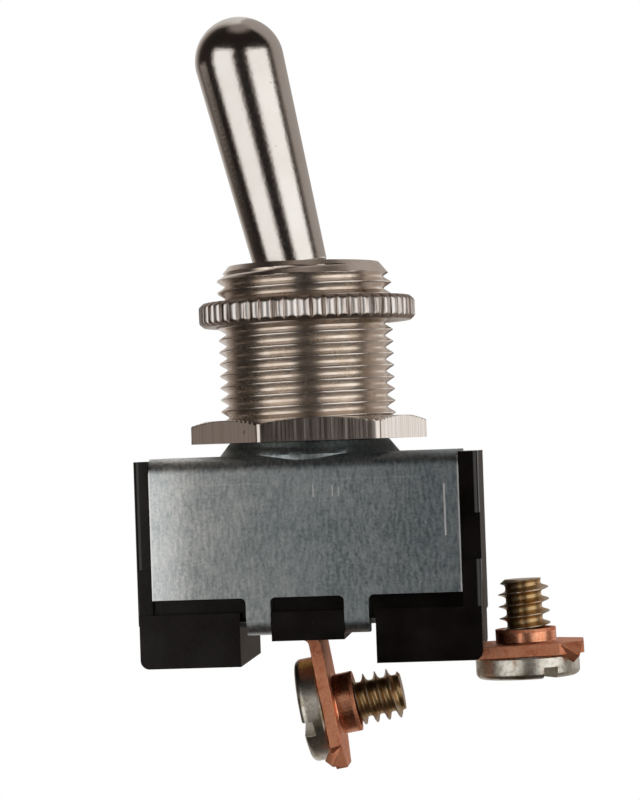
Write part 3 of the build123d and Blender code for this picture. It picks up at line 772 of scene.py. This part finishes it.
# Lever: bat handle, pivot ball and plunger tube, turned in one piece
lever_axis = np.array([-sin(LEVER_TILT), 0, cos(LEVER_TILT)])
lever_across = np.array([cos(LEVER_TILT), 0, sin(LEVER_TILT)])
tip_height, tip_radius = 18.17, 3.0
waist_height, waist_radius = 4.1, 2.45
ball_radius, neck_radius, tail_radius = 3.4, 2.1, 1.75
ball_neck = sqrt(ball_radius**2 - neck_radius**2)
ball_tail = sqrt(ball_radius**2 - tail_radius**2)
lever_profile = np.concatenate(
    [
        line(
            (0, -SPRING_TOP),
            (PLUNGER_BORE, -SPRING_TOP),
            (PLUNGER_BORE, -TAIL_LENGTH),
            (tail_radius, -TAIL_LENGTH),
            (tail_radius, -ball_tail),
        ),
        arc(
            (0, 0),
            ball_radius,
            -np.degrees(np.arcsin(ball_tail / ball_radius)),
            np.degrees(np.arcsin(ball_neck / ball_radius)),
            28,
        ),
        line((neck_radius, ball_neck), (neck_radius, 3.6), count=4),
        arc((2.2, 4.0), 0.25, -60, 0, 6),
        line((waist_radius, waist_height), (tip_radius, tip_height), count=16),
        arc((0, tip_height), tip_radius, 2, 90, 28),
    ]
)
lever = place(turned(lever_profile, 128), (0, 0, PIVOT_Z), lever_axis, lever_across)
piece("lever_bat", lever, "lever", lever_finish, ("lever",), crease=40)


# Terminal screws, and the drawn collars they thread into
def screw(name, origin, axis, across, length, slot_turn, phase):
    """Binding-head screw: the head's section from its middle over the crown and rim to the
    bearing face, then thread rows up the shank and a chamfered end. A box cuts the slot."""
    around_count, bearing = 96, -0.03

    def point(z):
        return SCREW_RADIUS - 1.2 * np.clip(z - length + 0.4, 0, None)

    rows, cutting = thread_rows(
        SCREW_RADIUS, SCREW_THREAD_DEPTH, bearing, length, phase, around_count, point, valley
    )
    head = np.concatenate(
        [
            line((0, -HEAD_HEIGHT), (2.9, -HEAD_HEIGHT + 0.01), count=4),
            arc((HEAD_RADIUS - HEAD_CORNER, HEAD_CORNER - HEAD_HEIGHT), HEAD_CORNER, -88, 0, 9),
            line((HEAD_RADIUS, HEAD_CORNER - HEAD_HEIGHT + 0.1), (HEAD_RADIUS, -0.15), count=3),
            line((HEAD_RADIUS - 0.12, bearing), (SCREW_RADIUS + 0.3, bearing), count=3),
        ]
    )
    head_rows = turned(head, around_count)
    end = np.zeros_like(rows[-1:])
    end[..., 2] = length
    grid = np.concatenate([head_rows, rows, end])
    deep = np.concatenate(
        [np.zeros(head_rows.shape[:2]), 0.35 + 0.65 * cutting, np.full(end.shape[:2], 0.3)]
    )
    made = piece(
        name + "_piece",
        place(grid, origin, axis, across),
        name,
        screw_finish,
        (name,),
        crease=45,
        values={"depth": deep},
    )
    half = SLOT_WIDTH / 2
    low = np.array([(-half, -4), (half, -4), (half, 4), (-half, 4)])
    turn = np.array([[cos(slot_turn), sin(slot_turn)], [-sin(slot_turn), cos(slot_turn)]])
    flat = low @ turn
    deepest, outside = -HEAD_HEIGHT + SLOT_DEPTH, -HEAD_HEIGHT - 0.5
    corners = np.concatenate([np.c_[flat, np.full(4, outside)], np.c_[flat, np.full(4, deepest)]])
    box = bpy.data.meshes.new("slot")
    box.from_pydata(
        (place(corners, origin, axis, across) * MM).tolist(),
        [],
        [(3, 2, 1, 0), (4, 5, 6, 7), (0, 1, 5, 4), (1, 2, 6, 5), (2, 3, 7, 6), (3, 0, 4, 7)],
    )
    cutter = bpy.data.objects.new("slot", box)
    bpy.context.scene.collection.objects.link(cutter)
    bpy.context.view_layer.update()
    cut(made, cutter)
    return made


def collar(name, seat, axis, across, height):
    """The drawn collar: a small fillet out of the strip, a wall and a rolled rim round the
    tapped hole."""
    profile = np.concatenate(
        [
            [(1.73, -0.3), (2.17, -0.3)],
            arc((2.17, 0.15), 0.15, 270, 180, 6),
            line((COLLAR_RADIUS, 0.2), (COLLAR_RADIUS, height - 0.28)),
            arc((1.76, height - 0.26), 0.26, 0, 95, 9),
            [(1.73, height - 0.03), (1.73, -0.3)],
        ]
    )
    grid = place(turned(profile, 96), seat, axis, across)
    return piece(name, grid, "switch_body", collar_finish, crease=50)


def terminal_frame(root, rise, reach, inset):
    """Where a strip's screw sits: its seat on the strip, the screw's axis and the strip's run."""
    along = np.array([cos(rise), 0, sin(rise)])
    out = np.array([-sin(rise), 0, cos(rise)])
    seat = np.array(root, float) + along * (reach - inset)
    return seat, out, along


end_seat, end_out, end_along = terminal_frame(END_ROOT, END_RISE, 6.42, 3.8)
mid_seat, mid_out, mid_along = terminal_frame(CENTRE_ROOT, CENTRE_LEAN - pi / 2, 9.5, 4.1)
screw(
    "end_screw",
    end_seat - end_out * STRIP,
    end_out,
    end_along,
    END_SCREW_LENGTH,
    radians(27),
    0.46,
)
screw(
    "centre_screw",
    mid_seat - mid_out * STRIP,
    mid_out,
    mid_along,
    CENTRE_SCREW_LENGTH,
    radians(18),
    0.92,
)
collar("end_collar", end_seat, end_out, end_along, 0.95)
collar("centre_collar", mid_seat, mid_out, mid_along, 1.35)


# The frame, the moulding and the strips keep their CAD shape, merged and eased at the edges
merged("frame", "switch_body", zinc_finish, rounding=0.08)
merged("housing", "switch_body", phenolic_finish, rounding=0.16)
merged("end_terminal", "switch_body", copper_finish, rounding=0.06)
merged("centre_terminal", "switch_body", copper_finish, rounding=0.06)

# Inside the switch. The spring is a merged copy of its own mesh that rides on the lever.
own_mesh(merged("plunger_spring", "lever", spring_finish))
for node, finish in (
    ("insulator", fibre_finish),
    ("pivot_pin", pin_finish),
    ("plunger", nylon_finish),
    ("rocker", brass_finish),
    ("rocker_contact", silver_finish),
    ("fulcrum_saddle", brass_finish),
    ("centre_rivet", brass_finish),
    ("end_contact", silver_finish),
):
    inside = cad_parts[node]
    inside.data.materials.clear()
    inside.data.materials.append(finish)


# Studio: a pale floor, a white ground, and a round wall of soft cards that only the metal sees
def card_level(azimuth, height):
    """Brightness of the studio seen in a metal mirror, by angle right of the camera and above
    it, in degrees: two tall soft boxes in front with a dark gap between them, dark walls beside
    them, a grey room behind and a dark ceiling and floor. Near eye level a grey card stands on
    the left and a white one on the right for the hex nut's flats, and a dark one behind on the
    right for the moulding's sides."""
    bearing = (-180, -150, -132, -118, -72, -60, -17, -6, 18, 30, 78, 90, 98, 110, 180)
    shine = (0.8, 0.66, 0.34, 0.05, 0.02, 1.08, 1.1, 0.03, 0.03, 1.15, 1.2, 0.1, 0.14, 0.46, 0.5)
    room = np.interp(azimuth, bearing, shine) * np.ones_like(height)
    front = np.clip((105 - np.abs(azimuth)) / 10, 0, 1) * np.ones_like(height)
    boxes = 1 - front * np.clip((np.abs(height) - 24) / 8, 0, 1)
    level = 0.03 + (room - 0.03) * boxes
    level = level + (0.34 - level) * np.clip((height - 68) / 12, 0, 1)
    level = level + (0.1 - level) * np.clip((-height - 60) / 10, 0, 1)
    grey_card = np.interp(azimuth, (-124, -116, -96, -88), (0, 1, 1, 0))
    white_card = np.interp(azimuth, (112, 124, 152, 164), (0, 1, 1, 0))
    dark_card = np.interp(azimuth, (164, 168, 177, 179), (0, 1, 1, 0))
    eye_level = np.clip((5.5 - np.abs(height)) / 2, 0, 1)
    below_eye = np.clip((7 - np.abs(height + 5)) / 2, 0, 1)
    level = level + (0.34 - level) * grey_card * eye_level
    level = level + (0.1 - level) * dark_card * below_eye
    return level + (1.0 - level) * white_card * eye_level


def studio():
    """Floor, a round of cards for the metal, lamps and world."""
    world = bpy.data.worlds.new("white_ground")
    bpy.context.scene.world = world
    world.use_nodes = True
    tree = world.node_tree
    tree.nodes.clear()
    camera = add(tree, "LightPath", gives="Is Camera Ray")
    glossy = add(tree, "LightPath", gives="Is Glossy Ray")
    through = add(tree, "LightPath", gives="Is Transmission Ray")
    seen = add(tree, "Math", {0: camera, 1: glossy}, operation="MAXIMUM")
    seen = add(tree, "Math", {0: seen, 1: through}, operation="MAXIMUM")
    level = add(tree, "MapRange", {"Value": seen, "To Min": 0.12, "To Max": 1.0})
    ground = add(tree, "Background", {"Color": (1, 1, 1, 1), "Strength": level})
    add(tree, "OutputWorld", {"Surface": ground})

    floor_material = bpy.data.materials.new("pale_floor")
    floor_material.use_nodes = True
    tree = floor_material.node_tree
    tree.nodes.clear()
    matt = add(tree, "BsdfDiffuse", {"Color": linear("f4f4f2")})
    add(tree, "OutputMaterial", {"Surface": matt})
    side = 2000.0
    flat = np.array([[(x, y, -45.0) for x in (-side, side)] for y in (-side, side)])
    floor_mesh = bpy.data.meshes.new("floor")
    floor_mesh.from_pydata((flat.reshape(-1, 3) * MM).tolist(), [], [(0, 1, 3, 2)])
    floor = bpy.data.objects.new("floor", floor_mesh)
    floor.data.materials.append(floor_material)
    bpy.context.scene.collection.objects.link(floor)
    floor.visible_glossy = False
    floor.visible_camera = False

    azimuth = np.linspace(-180, 180, 181)[None, :]
    height = np.linspace(-90, 90, 121)[:, None]
    level = card_level(azimuth, height)
    a, e = np.radians(azimuth), np.radians(height)
    far = 450.0
    dome = np.stack(
        [
            far * np.sin(a) * np.cos(e),
            -far * np.cos(a) * np.cos(e),
            far * np.sin(e) * np.ones_like(a),
        ],
        axis=-1,
    )
    mesh = bpy.data.meshes.new("cards")
    mesh.from_pydata((dome.reshape(-1, 3) * MM).tolist(), [], skin(dome).tolist())
    mesh.attributes.new("shine", "FLOAT", "POINT").data.foreach_set(
        "value", level.reshape(-1).astype(np.float32)
    )
    card_material = bpy.data.materials.new("studio_cards")
    card_material.use_nodes = True
    tree = card_material.node_tree
    tree.nodes.clear()
    shine_here = add(tree, "Attribute", gives="Fac", attribute_name="shine")
    tint = add(
        tree, "ValToRGB", {"Fac": shine_here}, [(0.0, "c3ada0"), (0.35, "e2d3c9"), (0.9, "fffdfb")]
    )
    light = add(tree, "Emission", {"Color": tint, "Strength": shine_here})
    add(tree, "OutputMaterial", {"Surface": light})
    cards = bpy.data.objects.new("cards", mesh)
    cards.data.materials.append(card_material)
    bpy.context.scene.collection.objects.link(cards)
    cards.visible_camera = False
    cards.visible_diffuse = False
    cards.visible_shadow = False
    cards.visible_transmission = False
    cards.visible_volume_scatter = False

    lamps = (
        ("soft_left", (-220, -260, 160), 220, 0.4, "fff8f0"),
        ("soft_right", (260, -230, 120), 220, 0.4, "fffaf5"),
        ("soft_top", (0, -40, 340), 260, 0.3, "ffffff"),
        ("behind_right", (300, 220, 60), 200, 0.3, "ffffff"),
    )
    for name, spot, size, power, code in lamps:
        lamp = bpy.data.lights.new(name, "AREA")
        lamp.shape = "SQUARE"
        lamp.size = size * MM
        lamp.energy = power
        lamp.color = linear(code)[:3]
        stand = bpy.data.objects.new(name, lamp)
        stand.location = Vector(spot) * MM
        stand.rotation_euler = (-Vector(spot)).to_track_quat("-Z", "Y").to_euler()
        stand.visible_glossy = False
        bpy.context.scene.collection.objects.link(stand)


def photographer():
    """The camera, as fitted to the photograph: 200 mm off, turned, tipped and rolled a little."""
    yaw, pitch, roll = radians(4.56), radians(0.91), radians(-1.99)
    ahead = Vector((-sin(yaw) * cos(pitch), cos(yaw) * cos(pitch), sin(pitch)))
    level = Vector((cos(yaw), sin(yaw), 0))
    upright = level.cross(ahead)
    right = level * cos(roll) + upright * sin(roll)
    up = upright * cos(roll) - level * sin(roll)
    turn = Matrix((right, up, -ahead)).transposed().to_4x4()
    eye = bpy.data.cameras.new("photographer")
    eye.sensor_width = 36.0
    eye.lens = 2992.9 * 36 / 800
    eye.clip_start, eye.clip_end = 0.01, 10.0
    made = bpy.data.objects.new("photographer", eye)
    made.matrix_world = Matrix.Translation(Vector((16.75, -200, -1.98)) * MM) @ turn
    bpy.context.scene.collection.objects.link(made)
    bpy.context.scene.camera = made


studio()
photographer()
bpy.context.scene.view_settings.view_transform = "Standard"
